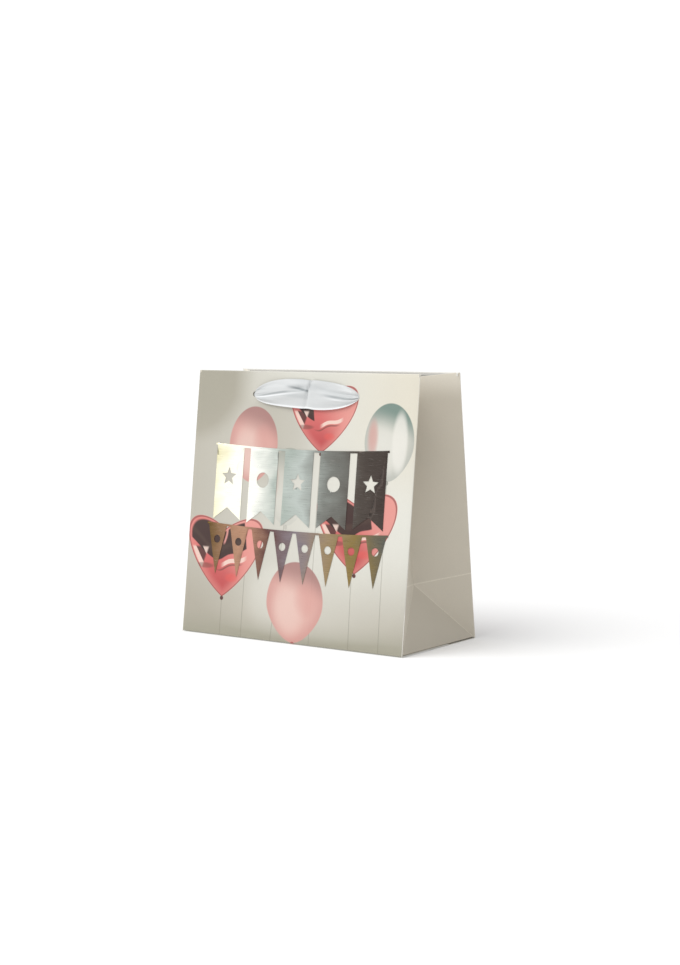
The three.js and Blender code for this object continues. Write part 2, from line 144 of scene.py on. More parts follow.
class Shader:
    """A material's node tree, with one method that makes every node."""

    def __init__(self, name: str) -> None:
        """Starts a material with a Principled shader."""
        self.material = bpy.data.materials.new(name)
        self.material.use_nodes = True
        self.tree = self.material.node_tree
        self.base = next(n for n in self.tree.nodes if n.type == "BSDF_PRINCIPLED")

    def node(self, kind: str, settings: dict | None = None, values: dict | None = None) -> bpy.types.Node:
        """Adds a node.

        Args:
            kind: the node's type.
            settings: properties, set before the sockets.
            values: for each input, by name or index, a plain value, a Number or a socket.

        Returns:
            The node.
        """
        made = self.tree.nodes.new(kind)
        for key, value in (settings or {}).items():
            if key == "stops":
                self._set_stops(made.color_ramp, value)
            else:
                setattr(made, key, value)
        for key, value in (values or {}).items():
            self.feed(made.inputs[key], value)
        return made

    @staticmethod
    def _set_stops(ramp: bpy.types.ColorRamp, stops: Sequence[tuple]) -> None:
        """Gives a colour ramp its stops, each a position and a colour."""
        while len(ramp.elements) < len(stops):
            ramp.elements.new(0.5)
        for element, (position, colour) in zip(ramp.elements, stops):
            element.position = position
            element.color = colour

    def feed(self, target: Socket, value: object) -> None:
        """Links a Number or a socket to an input, or sets its plain value."""
        if isinstance(value, Number):
            self.tree.links.new(value.socket, target)
        elif isinstance(value, Socket):
            self.tree.links.new(value, target)
        else:
            target.default_value = value

    def set(self, **values: object) -> None:
        """Sets the Principled shader's inputs; an underscore stands for a space."""
        for key, value in values.items():
            self.feed(self.base.inputs[key.replace("_", " ")], value)

    def place_mm(self) -> tuple[Number, Number, Number]:
        """The surface point's own coordinates in millimetres."""
        there = self.node("ShaderNodeTexCoord").outputs["Object"]
        split = self.node("ShaderNodeSeparateXYZ", None, {0: there})
        x, y, z = (Number(self, split.outputs[i]) * 1000.0 for i in range(3))
        return x, y, z

    def strand(self) -> tuple[Number, Number]:
        """The piece's own UV, along and across a ribbon."""
        there = self.node("ShaderNodeTexCoord").outputs["UV"]
        split = self.node("ShaderNodeSeparateXYZ", None, {0: there})
        return Number(self, split.outputs[0]), Number(self, split.outputs[1])

    def vector(self, x: Amount, y: Amount, z: Amount = 0.0) -> Socket:
        """Joins three numbers."""
        return self.node("ShaderNodeCombineXYZ", None, {0: x, 1: y, 2: z}).outputs[0]

    def grain(self, at: Socket, scale: float, detail: float = 3.0) -> Number:
        """Noise around 0.5 at a place, with `scale` features to one unit of that place."""
        made = self.node("ShaderNodeTexNoise", None, {"Vector": at, "Scale": scale, "Detail": detail})
        return Number(self, made.outputs[0])

    def mix(self, share: Amount, first: object, second: object, how: str = "MIX") -> Socket:
        """Mixes two colours, the second by its share."""
        made = self.node(
            "ShaderNodeMix",
            {"data_type": "RGBA", "blend_type": how},
            {"Factor": share, 6: first, 7: second},
        )
        return made.outputs[2]

    def layers(self, under: object, *coats: tuple) -> Socket:
        """Lays coats over a colour, each a share and a colour."""
        for share, coat in coats:
            under = self.mix(share, under, coat)
        return under

    def ramp(self, at: Number, stops: Sequence[tuple]) -> Socket:
        """Colour ramp over 0 to 1."""
        return self.node("ShaderNodeValToRGB", {"stops": stops}, {"Fac": at}).outputs[0]

    def relief(self, height: Number, depth: float, strength: float = 1.0) -> None:
        """Feeds a height through a Bump node to the shader's normal."""
        made = self.node("ShaderNodeBump", None, {"Strength": strength, "Distance": depth, "Height": height})
        self.feed(self.base.inputs["Normal"], made.outputs[0])


# ---- the bag's shape, from the frame -------------------------------------------------------
@dataclass(frozen=True)
class Wall:
    """A flat wall's own axes: across, up along the paper, and out of it. Its outer face has out = 0."""

    origin: Vector
    across: Vector
    up: Vector

    @property
    def outward(self) -> Vector:
        """Direction out of the bag."""
        return self.across.cross(self.up)

    def point(self, x: float, s: float, out: float = 0.0) -> Vector:
        """The point at x across, s up the paper and out of the face."""
        return self.origin + self.across * x + self.up * s + self.outward * out


@dataclass(frozen=True)
class Gusset:
    """Upper half of a folded side: a sheet ruled from the panel's side edge to the middle crease."""

    knee: Vector
    mouth: Vector
    apex: Vector
    top: Vector
    outward_sign: float
    length: float
    reach: float

    def point(self, x: float, s: float, out: float = 0.0) -> Vector:
        """The point x in from the panel's edge and s up from the level crease."""
        share = s / self.length
        edge = self.knee.lerp(self.mouth, share)
        middle = self.apex.lerp(self.top, share)
        along = (self.mouth - self.knee).lerp(self.top - self.apex, x / self.reach)
        outward = (middle - edge).cross(along).normalized() * self.outward_sign
        return edge.lerp(middle, x / self.reach) + outward * out


@dataclass(frozen=True)
class BagShape:
    """Sizes of the folded paper, read from the frame."""

    width: float
    depth: float
    height: float
    lean: float
    paper: float = 0.4 * MM
    panel_hinge: float = 4.4 * MM
    foot_hinge: float = 3.4 * MM

    @classmethod
    def from_frame(cls) -> BagShape:
        """Reads the overall sizes from the packed pieces and the ribbon's slide."""
        slide = next(j for j in frame["joints"] if j["name"] == "front_handle_pull")
        lean = atan2(slide["axis"][1], slide["axis"][2])
        low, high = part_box("front_panel")
        depth = 2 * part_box("bottom_flap_back")[1].y
        return cls(high.x - low.x, depth, high.z / cos(lean), lean)

    @property
    def crease(self) -> float:
        """Height along the paper of the level crease."""
        return self.depth / 2

    @property
    def foot_rise(self) -> float:
        """Height of a gusset's lower apex."""
        return (1 - sin(self.lean)) / cos(self.lean) * self.crease

    @property
    def foot_lean(self) -> float:
        """How far a gusset's foot leans in, in radians."""
        return acos(self.foot_rise / self.crease)

    def wall(self, side: int) -> Wall:
        """The front's axes for side -1, the back's for side 1."""
        up = Vector((0, -side * sin(self.lean), cos(self.lean)))
        return Wall(Vector((0, side * self.depth / 2, 0)), Vector((-side, 0, 0)), up)

    def apex(self, hand: int) -> Vector:
        """Lower end of a gusset's middle crease; hand is 1 on the right."""
        reach = self.crease * sin(self.foot_lean)
        return Vector((hand * (self.width / 2 - reach), 0, self.foot_rise))

    def edge(self, hand: int, side: int, s: float) -> Vector:
        """Point on a panel's side edge at a height along the paper."""
        return self.wall(side).point(-side * hand * self.width / 2, s)

    def gusset(self, hand: int, side: int) -> Gusset:
        """Upper gusset half on one hand, at the front (-1) or the rear (1)."""
        knee, mouth = self.edge(hand, side, self.crease), self.edge(hand, side, self.height)
        apex = self.apex(hand)
        length = self.height - self.crease
        across = sqrt(self.crease**2 - mouth.y**2)
        mouth_x = abs(mouth.x)
        run, rise = mouth_x - abs(apex.x), mouth.z - apex.z
        distance = hypot(run, rise)
        along = (length**2 - across**2 + distance**2) / (2 * distance)
        aside = sqrt(length**2 - along**2)
        x = abs(apex.x) + (run * along - rise * aside) / distance
        z = apex.z + (rise * along + run * aside) / distance
        top = Vector((hand * x, 0, z))
        return Gusset(knee, mouth, apex, top, -float(hand * side), length, self.crease)


SHAPE = BagShape.from_frame()


# ---- mesh work -----------------------------------------------------------------------------
def lone_selection(piece: Piece) -> None:
    """Makes one object the only selected and active one."""
    bpy.ops.object.select_all(action="DESELECT")
    piece.select_set(True)
    bpy.context.view_layer.objects.active = piece


def smooth(piece: Piece, angle: float) -> None:
    """Shades a piece smooth; edges sharper than the angle, in degrees, stay sharp."""
    lone_selection(piece)
    bpy.ops.object.shade_smooth_by_angle(angle=radians(angle))


def added(kind: str, **settings: object) -> Piece:
    """Adds one primitive and returns it."""
    bpy.ops.object.select_all(action="DESELECT")
    getattr(bpy.ops.mesh, f"primitive_{kind}_add")(**settings)
    return bpy.context.object


def settle(piece: Piece, body: str, slot: str, *nodes: str) -> None:
    """Says which body a piece rides, the name of its finish and the CAD nodes it stands for."""
    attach(piece, body)
    if nodes:
        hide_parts(*nodes)


def apply_modifier(piece: Piece, kind: str, **settings: object) -> None:
    """Adds one modifier, sets it and applies it."""
    lone_selection(piece)
    modifier = piece.modifiers.new(kind.title(), kind)
    for key, value in settings.items():
        setattr(modifier, key, value)
    bpy.ops.object.modifier_apply(modifier=modifier.name)


def grid_piece(name: str, columns: int, rows: int, place: Place) -> Piece:
    """A grid whose points are moved into place.

    Args:
        name: the piece's name.
        columns: faces across.
        rows: faces up.
        place: gives a point for shares across and up, each 0 to 1, with the outside to its right-hand normal.

    Returns:
        The new object, with its place in its mesh.
    """
    piece = added("grid", x_subdivisions=columns, y_subdivisions=rows, size=2)
    piece.name = name
    piece.data.name = name
    for vertex in piece.data.vertices:
        vertex.co = place((vertex.co.x + 1) / 2, (vertex.co.y + 1) / 2)
    return piece


def weld(piece: Piece, distance: float = 0.02 * MM) -> None:
    """Merges points that lie together, such as at a triangle's tip."""
    lone_selection(piece)
    bpy.ops.object.mode_set(mode="EDIT")
    bpy.ops.mesh.select_all(action="SELECT")
    bpy.ops.mesh.remove_doubles(threshold=distance)
    bpy.ops.object.mode_set(mode="OBJECT")


def thicken(
    piece: Piece, thickness: float, faces: Sequence[Material],
    angle: float = 40.0, even: bool = True,
) -> None:
    """Gives a sheet its thickness inwards.

    Args:
        piece: the sheet.
        thickness: its thickness.
        faces: the outside's material and, where it differs, the inside's and the rim's.
        angle: edges sharper than this, in degrees, stay sharp.
        even: keeps the thickness even round bends; tightly pleated ribbon does without.
    """
    for material in faces:
        piece.data.materials.append(material)
    inner = len(faces) - 1
    apply_modifier(
        piece, "SOLIDIFY", thickness=thickness, offset=-1.0, use_even_offset=even,
        material_offset=inner, material_offset_rim=inner,
    )
    smooth(piece, angle)


def dress(node: str, material: Material) -> None:
    """Gives a CAD node a finish."""
    slots = frame["nodes"][node].data.materials
    if len(slots):
        slots[0] = material
    else:
        slots.append(material)


def pick(stations: Sequence[Station], share: float) -> Station:
    """The station at a share of the way through a list of them."""
    return stations[round(share * (len(stations) - 1))]


def spread(start: float, end: float, count: int) -> list[float]:
    """Evenly spaced numbers, both ends included."""
    return [start + (end - start) * i / count for i in range(count + 1)]


def turned_edge(limit: float, radius: float, turn: float, steps: int = 5) -> list[Station]:
    """Stations of a rounded fold that starts flat and ends turned in at `limit`."""
    angles = spread(0.0, turn, steps)
    return [(limit - radius + radius * sin(a), -radius * (1 - cos(a))) for a in angles]


# ---- finishes ------------------------------------------------------------------------------
@dataclass(frozen=True)
class PaperTexture:
    """What all the bag's papers share: faint fibre, fine surface relief and wear on the folds."""

    fibre: float = 0.05
    relief_depth: float = 0.02 * MM
    gloss: float = 0.42

    def finish(self, shader: Shader, colour: object, coat: float) -> None:
        """Adds the fibre, the gloss and the relief to a paper's colour."""
        there = shader.node("ShaderNodeTexCoord").outputs["Object"]
        fibre = shader.grain(there, 900.0, 4.0)
        cloud = shader.grain(there, 28.0, 2.0)
        shade = 1.0 + (fibre - 0.5) * self.fibre + (cloud - 0.5) * self.fibre
        grey = shader.vector(shade, shade, shade)
        shader.set(Base_Color=shader.mix(1.0, colour, grey, "MULTIPLY"))
        shader.set(Roughness=self.gloss + fibre * 0.12, Coat_Weight=coat, Coat_Roughness=0.35)
        shader.set(Specular_IOR_Level=0.4)
        shader.relief(fibre, self.relief_depth, 0.5)


@dataclass(frozen=True)
class Balloon:
    """Where a printed balloon is, in millimetres across the panel and up it."""

    x: float
    s: float
    half_width: float
    half_height: float
    turn: float = 0.0
    mirror_end: float = 0.62


class BalloonKind(Enum):
    """The kinds of balloon in the print."""

    LATEX = "latex"
    PEARL = "pearl"
    HEART = "heart"


@dataclass(frozen=True)
class Thread:
    """A printed balloon string: its foot and its top across the panel, and how high it reaches."""

    foot: float
    top: float
    reach: float


@dataclass(frozen=True)
class BalloonPrint:
    """The print of the large faces: soft grey wall, balloons, and their strings."""

    balloons: tuple[tuple[BalloonKind, Balloon], ...] = (
        (BalloonKind.PEARL, Balloon(-10, 138, 24, 35)),
        (BalloonKind.LATEX, Balloon(-52, 174, 27.5, 34.5)),
        (BalloonKind.PEARL, Balloon(93, 181, 25.5, 34)),
        (BalloonKind.HEART, Balloon(22.5, 194.5, 36.5, 25.6, 0.0, -0.25)),
        (BalloonKind.HEART, Balloon(65, 96, 42, 30, 0.03, 0.42)),
        (BalloonKind.HEART, Balloon(-77, 66, 43.5, 31)),
        (BalloonKind.LATEX, Balloon(4.5, 37, 31, 36)),
    )
    threads: tuple[Thread, ...] = (
        Thread(-77, -77, 33), Thread(-53, -52, 138), Thread(-20, -12, 104),
        Thread(22, 22.5, 168), Thread(64, 63, 64), Thread(95, 93, 146),
    )
    light: tuple = tone(236, 235, 225)
    warm: tuple = tone(235, 229, 212)
    dim: tuple = tone(184, 178, 163)
    deep: tuple = tone(142, 144, 120)
    density: float = 0.86

    def wall_colour(self, shader: Shader, x: Number, s: Number) -> Socket:
        """The pale wall behind the balloons, darker at the left, the bottom and the upper left corner."""
        middle = shader.mix(x.ease(10, 120) * s.ease(110, 200), self.light, self.warm)
        left = x.ease(95, -150) * 0.82
        # The second term darkens the last 12 mm above the bottom edge: painted shade by the floor.
        low = s.ease(85, -12) * 0.38 + s.ease(12, 0) * 0.35
        corner = ((x + 120) * (x + 120) + (s - 240) * (s - 240)).ease(5000, 0)
        dusk = self._spot(x, s, (-20, 182), (52, 60), 0.0) * 0.34
        near = s.ease(115, -5) * x.ease(-20, 120) * 0.62
        clear = self._spot(x, s, (-38, 242), (62, 36), 0.0) * 0.15
        clear = clear + self._spot(x, s, (-22, 40), (34, 36), 0.0) * 0.24
        shade = (left + corner * 0.6 + low + dusk + near - clear).least(1.0).most(0.0)
        # Towards the deep tone near the bottom edge, partly print and partly painted shade by the floor; the
        # corner term is print.
        foot = s.ease(26, -3) * 0.42 + corner * 0.22
        return shader.layers(middle, (shade, self.dim), (foot, self.deep))

    def build(self, name: str) -> Material:
        """Makes the printed paper."""
        shader = Shader(name)
        raw_x, raw_y, raw_z = shader.place_mm()
        x = raw_x * raw_y.sign() * -1.0
        s = raw_z / cos(SHAPE.lean)
        colour = self.wall_colour(shader, x, s)
        for thread in self.threads:
            slope = (thread.top - thread.foot) / thread.reach
            line = (x - s * slope - thread.foot).bump(0.0, 0.62) * s.ease(thread.reach + 1, thread.reach - 1)
            colour = shader.mix(line * 0.5, colour, tone(120, 116, 102))
        for kind, balloon in self.balloons:
            if kind is BalloonKind.HEART:
                colour = self._heart(shader, x, s, colour, balloon)
            else:
                colour = self._oval(shader, x, s, colour, balloon, kind)
        colour = self._worn_folds(shader, colour, raw_x, s)
        grey = (self.density, self.density, self.density, 1.0)
        colour = shader.mix(1.0, colour, grey, "MULTIPLY")
        PaperTexture().finish(shader, colour, 0.25)
        return shader.material

    @staticmethod
    def _local(x: Number, s: Number, balloon: Balloon) -> tuple[Number, Number]:
        """Coordinates in the balloon's own frame, 1 at its edge."""
        cosine, sine = cos(balloon.turn), sin(balloon.turn)
        dx, dy = x - balloon.x, s - balloon.s
        p = (dx * cosine + dy * sine) / balloon.half_width
        q = (dy * cosine - dx * sine) / balloon.half_height
        return p, q

    @staticmethod
    def _spot(p: Number, q: Number, at: Station, size: Station, hard: float) -> Number:
        """An oval patch, 1 inside; hard is the share of it that is even."""
        dp, dq = (p - at[0]) / size[0], (q - at[1]) / size[1]
        return (dp * dp + dq * dq).ease(1.0, hard)

    def _oval(
        self, shader: Shader, x: Number, s: Number, under: object, balloon: Balloon, kind: BalloonKind
    ) -> Socket:
        """A round balloon, narrower below, with a soft cap of shade and a soft light."""
        p, q = self._local(x, s, balloon)
        low = (q * -1.0).most(0.0)
        wide = p * (1.0 + low * low * 0.32)
        radius = (wide * wide + q * q) ** 0.5
        if kind is BalloonKind.LATEX:
            rim, body = tone(214, 152, 144), tone(231, 180, 170)
            light, cap = tone(248, 220, 208), tone(158, 112, 108)
            knot, cover, shade = tone(176, 98, 92), 0.93, 0.75
        else:
            rim, body = tone(176, 180, 172), tone(218, 218, 208)
            light, cap = tone(246, 244, 236), tone(92, 128, 120)
            knot, cover, shade = tone(150, 150, 140), 0.85 if balloon.x > 0 else 0.3, 1.0
        coats = [
            (radius.ease(0.55, 1.0) * 0.75, rim),
            (self._spot(p, q, (-0.2, -0.2), (0.7, 0.8), 0.0) * 0.5, light),
            ((q + p * 0.22).ease(0.18, 0.85) * shade, cap),
        ]
        if kind is BalloonKind.PEARL:
            coats.append((self._spot(p, q, (-0.66, 0.1), (0.26, 0.6), 0.0) * 0.8, tone(214, 150, 142)))
            coats.append((self._spot(p, q, (0.42, 0.0), (0.36, 0.9), 0.35) * 0.8, light))
        else:
            coats.append((self._spot(p, q, (0.4, 0.1), (0.5, 0.55), 0.0) * 0.4, tone(222, 150, 142)))
        colour = shader.layers(body, *coats)
        tied = self._spot(p, q, (0.0, -1.02), (0.08, 0.07), 0.5) * cover
        return shader.mix(tied, shader.mix(radius.ease(1.0, 0.97) * cover, under, colour), knot)

    def _heart(self, shader: Shader, x: Number, s: Number, under: object, balloon: Balloon) -> Socket:
        """A puffed foil heart that mirrors a dark room above a red body, with a seam round it."""
        p, q = self._local(x, s, balloon)
        size = abs(p)
        lifted = q - size * 0.9
        radius = (p * p + lifted * lifted) ** 0.5
        red, deep, rose = tone(222, 112, 108), tone(196, 74, 76), tone(240, 164, 154)
        pale, dark, umber = tone(250, 222, 208), tone(32, 24, 16), tone(84, 62, 50)
        wobble = (p * 6.0 + 1.0).sine() * 0.07 + (p * 11.0 + q * 3.0).sine() * 0.02
        level = q + 0.06 - ((p + 0.08) * (p + 0.08) + 0.02) ** 0.5 * 0.8 - wobble
        end = balloon.mirror_end
        mirror = level.ease(0.0, 0.04) * radius.ease(0.93, 0.88) * (p + q * 0.12).ease(end + 0.03, end)
        sheet = (level + 0.17 + p * 0.12).bump(0.0, 0.1).ease(0.2, 0.4)
        sheet = sheet * p.ease(-0.1, 0.05) * p.ease(0.62, 0.5)
        edge = (level + 0.3 + p * 0.1).bump(0.0, 0.045) * p.ease(-0.3, 0.0) * p.ease(0.55, 0.35)
        stripes = ((p + q * 0.5) * 17.0).sine().ease(-0.15, 0.15)
        window = (p - q * 0.25).ease(-0.5, -0.56) * q.ease(-0.32, -0.22)
        window = window * q.ease(0.46, 0.38) * radius.ease(0.94, 0.9)
        pleat = (p + 0.05 * (q * 5.0).sine()).bump(0.0, 0.045) * q.ease(0.5, 0.62)
        seam = radius.ease(0.945, 0.962) * radius.ease(0.995, 0.98)
        colour = shader.layers(
            deep,
            (q.ease(-0.9, 0.5), red),
            ((p * 0.85 + q * 0.25).ease(-0.15, 0.75) * 0.85, rose),
            (radius.ease(0.6, 0.97) * 0.4, rose),
            (mirror * 0.95, dark),
            ((level - 0.3).bump(0.0, 0.14) * mirror * 0.5, umber),
            (sheet * 0.9, pale),
            (edge * 0.7, umber),
            (window * 0.85, shader.mix(stripes, dark, pale)),
            (pleat * 0.9, rose),
            (self._spot(p, q, (-0.5, -0.12), (0.3, 0.1), 0.2) * 0.5, umber),
            (self._spot(p, q, (0.22, -0.42), (0.2, 0.16), 0.1) * 0.5, tone(236, 92, 84)),
            (seam * 0.7, tone(140, 66, 62)),
        )
        knot = self._spot(p, q, (0.0, -1.03), (0.05, 0.07), 0.5)
        return shader.layers(under, (radius.ease(1.0, 0.985), colour), (knot, tone(92, 52, 48)))

    @staticmethod
    def _worn_folds(shader: Shader, colour: object, x: Number, s: Number) -> Socket:
        """Pale wear on the side edges and along the top fold."""
        half = SHAPE.width / 2 / MM
        side = abs(x).ease(half - 0.8, half - 0.1) * 0.2
        top = s.ease(SHAPE.height / MM - 0.9, SHAPE.height / MM - 0.1) * 0.4
        return shader.mix(side.most(top), colour, tone(240, 238, 228))


@dataclass(frozen=True)
class SidePaper:
    """Plain warm-grey paper of the gussets, with pale lines where it is creased."""

    base: tuple = tone(205, 197, 181)
    # The pale tone serves the crease lines and the painted light along the top.
    line: tuple = tone(236, 229, 214)
    # Tone of the painted shade in the hollow of the right gusset.
    shade: tuple = tone(160, 151, 136)

    def build(self, name: str) -> Material:
        """Makes the side paper."""
        shader = Shader(name)
        x, y, z = shader.place_mm()
        rise, knee = SHAPE.foot_rise / MM, SHAPE.crease * cos(SHAPE.lean) / MM
        foot, knee_y = SHAPE.crease / MM, SHAPE.edge(1, 1, SHAPE.crease).y / MM
        level = z - rise - abs(y) * ((knee - rise) / knee_y)
        slant = (z * foot + abs(y) * rise - foot * rise) / hypot(foot, rise)
        broken = shader.grain(shader.vector(x, y, z), 0.9, 2.0).ease(0.3, 0.65)
        lines = level.bump(0.0, 0.9).most(slant.bump(0.0, 0.8) * z.ease(rise + 2, rise - 2))
        lines = lines * (broken * 0.35 + 0.25)
        # Painted shade in the hollow of the gusset near its front edge, on the right gusset only.
        hollow = ((y + 24.0) * (y + 24.0) * 0.9 + (z - 192.0) * (z - 190.0) * 0.16).ease(700.0, 0.0)
        colour = shader.layers(
            self.base,
            (hollow * x.ease(0.0, 20.0), self.shade),
            # Painted light along the top of the gusset.
            (z.ease(212, 236) * 0.9, self.line),
            (lines.least(0.8), self.line),
        )
        PaperTexture(fibre=0.07).finish(shader, colour, 0.15)
        return shader.material


@dataclass(frozen=True)
class PlainPaper:
    """Uncoated white inside of the paper."""

    base: tuple = tone(236, 234, 228)

    def build(self, name: str) -> Material:
        """Makes the white paper."""
        shader = Shader(name)
        PaperTexture(fibre=0.06, gloss=0.72, relief_depth=0.04 * MM).finish(shader, self.base, 0.0)
        return shader.material


@dataclass(frozen=True)
class GreyBoard:
    """Recycled grey board with dark and light flecks."""

    base: tuple = tone(178, 172, 162)
    fleck: tuple = tone(120, 112, 102)

    def build(self, name: str) -> Material:
        """Makes the board."""
        shader = Shader(name)
        there = shader.node("ShaderNodeTexCoord").outputs["Object"]
        fleck = shader.grain(there, 1400.0, 2.0).ease(0.66, 0.74) * 0.6
        colour = shader.mix(fleck, self.base, self.fleck)
        PaperTexture(fibre=0.12, gloss=0.8, relief_depth=0.06 * MM).finish(shader, colour, 0.0)
        return shader.material


@dataclass(frozen=True)
class SatinRibbon:
    """White satin: fine threads along the ribbon, a woven edge and a cool sheen."""

    base: tuple = tone(212, 214, 214)
    # The grey tones below are painted shade in the folds and the tuck; the near-white one is painted highlight on
    # the folds and the lower edge.
    shade: tuple = tone(176, 181, 182)
    deep: tuple = tone(138, 144, 146)
    painted_highlight_tone: tuple = tone(240, 242, 243)
    threads: float = 95.0

    def build(self, name: str) -> Material:
        """Makes the satin."""
        shader = Shader(name)
        along, across = shader.strand()
        thread = (across * (self.threads * 2 * pi)).sine() * 0.5 + 0.5
        slub = shader.grain(shader.vector(along * 3.0, across * 60.0), 1.0, 2.0)
        # Painted shade in soft streaks fanning out from the holes.
        painted_fan_shade = shader.grain(shader.vector(along * 1.3, across * 3.2 + along * 1.1), 1.0, 1.0).ease(0.42, 0.7)
        selvedge = abs(across - 0.5).ease(0.455, 0.48)
        left = along.ease(1.4, 1.2)
        left_fold = across - along * 0.38 - 0.2
        right_fold = across + along * 0.35 - 1.24
        tuck = across + along * 0.5 - 1.115
        # Painted shade in the folds and in the tuck by the middle crease.
        dark = left_fold.bump(0.05, 0.07) * left * along.ease(0.12, 0.4) * along.ease(0.95, 0.75) * 0.7
        dark = dark.most(tuck.bump(0.0, 0.07) * left * along.ease(0.72, 0.9))
        dark = dark.most(right_fold.bump(0.05, 0.09) * (1.0 - left) * along.ease(2.05, 2.4) * 0.8)
        # Painted highlight just below the folds and along the lower edge.
        painted_highlight = left_fold.bump(-0.03, 0.05) * left * along.ease(0.1, 0.3) * along.ease(0.95, 0.7)
        painted_highlight = painted_highlight.most(right_fold.bump(-0.05, 0.06) * (1.0 - left) * along.ease(2.2, 2.5))
        painted_highlight = painted_highlight.most(across.ease(0.075, 0.05))
        # Painted fan shade mixed with the slub and the woven edge's own darker tone.
        soft = (painted_fan_shade * 0.4 + (1.0 - slub) * 0.15 + selvedge * 0.1).least(1.0)
        colour = shader.layers(self.base, (soft, self.shade), (dark, self.deep), (painted_highlight * 0.85, self.painted_highlight_tone))
        shader.set(Base_Color=colour, Roughness=0.34 + slub * 0.12, Specular_IOR_Level=0.55)
        shader.set(Anisotropic=0.5, Sheen_Weight=0.25, Sheen_Roughness=0.4)
        shader.relief(thread * 0.6 + slub * 0.4, 0.05 * MM, 0.35)
        return shader.material


@dataclass(frozen=True)
class BrushedFoil:
    """Hot-stamped foil: a tint that drifts across the row, with fine level brushing."""

    # Stops of the ramp: the foil's tint with its painted reflection along the row.
    stops: tuple[tuple[float, tuple], ...]
    low_mm: float = -100.0
    high_mm: float = 100.0
    gloss: float = 0.22

    def build(self, name: str) -> Material:
        """Makes the foil."""
        shader = Shader(name)
        raw_x, raw_y, z = shader.place_mm()
        x = raw_x * raw_y.sign() * -1.0
        # The painted reflection follows the place along the row, shifted a little by noise.
        drift = shader.grain(shader.vector(x * 0.03, z * 0.05), 1.0, 2.0) - 0.5
        share = (x - self.low_mm) / (self.high_mm - self.low_mm) + drift * 0.22
        colour = shader.ramp(share, self.stops)
        brush = shader.grain(shader.vector(x * 0.06, z * 2.6), 1.0, 4.0)
        scratch = shader.grain(shader.vector(x * 0.1 + 7.0, z * 5.0), 1.0, 2.0).ease(0.62, 0.78)
        dull = 1.0 + (brush - 0.5) * 0.55
        colour = shader.mix(1.0, colour, shader.vector(dull, dull, dull), "MULTIPLY")
        colour = shader.mix(scratch * 0.35, colour, tone(235, 232, 222))
        shader.set(Base_Color=colour, Metallic=1.0, Roughness=self.gloss + brush * 0.16)
        shader.relief(brush, 0.03 * MM, 0.4)
        return shader.material


@dataclass(frozen=True)
class Finishes:
    """All the bag's materials."""

    printed: Material
    side: Material
    white: Material
    board: Material
    satin: Material
    silver: Material
    copper: Material

    @classmethod
    def build(cls) -> Finishes:
        """Makes every material once."""
        # Ramps of each foil's tint with its painted reflection along the row.
        silver = BrushedFoil((
            (0.0, tone(214, 208, 168)), (0.12, tone(250, 247, 228)), (0.26, tone(246, 246, 238)),
            (0.4, tone(176, 186, 178)), (0.52, tone(196, 204, 198)), (0.66, tone(138, 140, 134)),
            (0.82, tone(98, 90, 84)), (1.0, tone(82, 72, 68)),
        ))
        copper = BrushedFoil((
            (0.0, tone(96, 76, 44)), (0.2, tone(176, 136, 112)), (0.36, tone(104, 74, 70)),
            (0.52, tone(142, 132, 138)), (0.66, tone(168, 146, 116)), (0.82, tone(156, 134, 84)),
            (1.0, tone(112, 112, 104)),
        ))
        return cls(
            BalloonPrint().build("printed_paper"), SidePaper().build("side_paper"),
            PlainPaper().build("white_paper"), GreyBoard().build("grey_board"),
            SatinRibbon().build("satin_ribbon"), silver.build("silver_foil"), copper.build("copper_foil"),
        )


# ---- sub-assemblies ------------------------------------------------------------------------
@dataclass(frozen=True)
class PaperSwell:
    """How far the paper stands out of flat: a slight bow and a faint ripple, none at its edges."""

    bow: float = 0.9 * MM
    back_bow: float = -0.45 * MM
    ripple: float = 0.3 * MM
    wall_ripple: float = 0.07 * MM

    def at(self, point: Vector, share_x: float, share_s: float, bow: float, ripple: float) -> float:
        """The stand-out at a flat point, whose shares run from 0 to 1 across and up its sheet."""
        across = sin(pi * min(1.0, max(0.0, share_x)))
        up = sin(pi * min(1.0, max(0.0, share_s)))
        fade = min(1.0, 4 * across) * min(1.0, 4 * up)
        return bow * across * up + ripple * noise.noise(point / (45 * MM)) * fade

    def on_wall(self, wall: Wall, x: float, s: float) -> float:
        """The stand-out of a large face at x across and s up; the back bows in, to fold flat."""
        bow = self.bow if wall.origin.y < 0 else self.back_bow
        return self.at(wall.point(x, s), x / SHAPE.width + 0.5, s / SHAPE.height, bow, self.wall_ripple)

    def on_gusset(self, flat: Vector, share_x: float, share_s: float) -> float:
        """The stand-out of a gusset's half."""
        return self.at(flat, share_x, share_s, self.bow, self.ripple)


